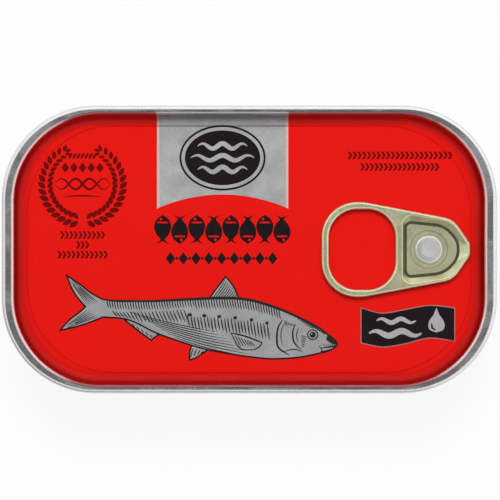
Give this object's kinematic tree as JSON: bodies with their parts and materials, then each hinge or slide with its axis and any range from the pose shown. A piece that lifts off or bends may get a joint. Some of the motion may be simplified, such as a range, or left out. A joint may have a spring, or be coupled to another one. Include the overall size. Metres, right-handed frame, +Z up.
{
  "type": "sardine tin",
  "caption": "Shut, full sardine tin: an oblong drawn tin with a seamed, red-lacquered easy-open lid and a ring-pull tab.",
  "frame": {"origin": "middle of the base, on the plane the tin stands on", "axes": "+X along the tin, towards the end where the tab's nose points; +Y across it; +Z up, out of the lid"},
  "size_m": [0.105, 0.061, 0.0285],
  "materials": {
    "tinplate": "bare drawn tinplate, semi-bright, with a fine grain",
    "lid_lacquer": "red lacquer, satin gloss, over tinplate",
    "tab_lacquer": "pale gold lacquer over tinplate, semi-gloss",
    "black_ink": "black printing ink, satin",
    "maroon_ink": "maroon printing ink, satin",
    "grey_ink": "grey printing ink, satin"
  },
  "bodies": {
    "root": {"can_body": "tinplate", "lid": "lid_lacquer", "pull_tab": "tab_lacquer"}
  },
  "joints": []
}
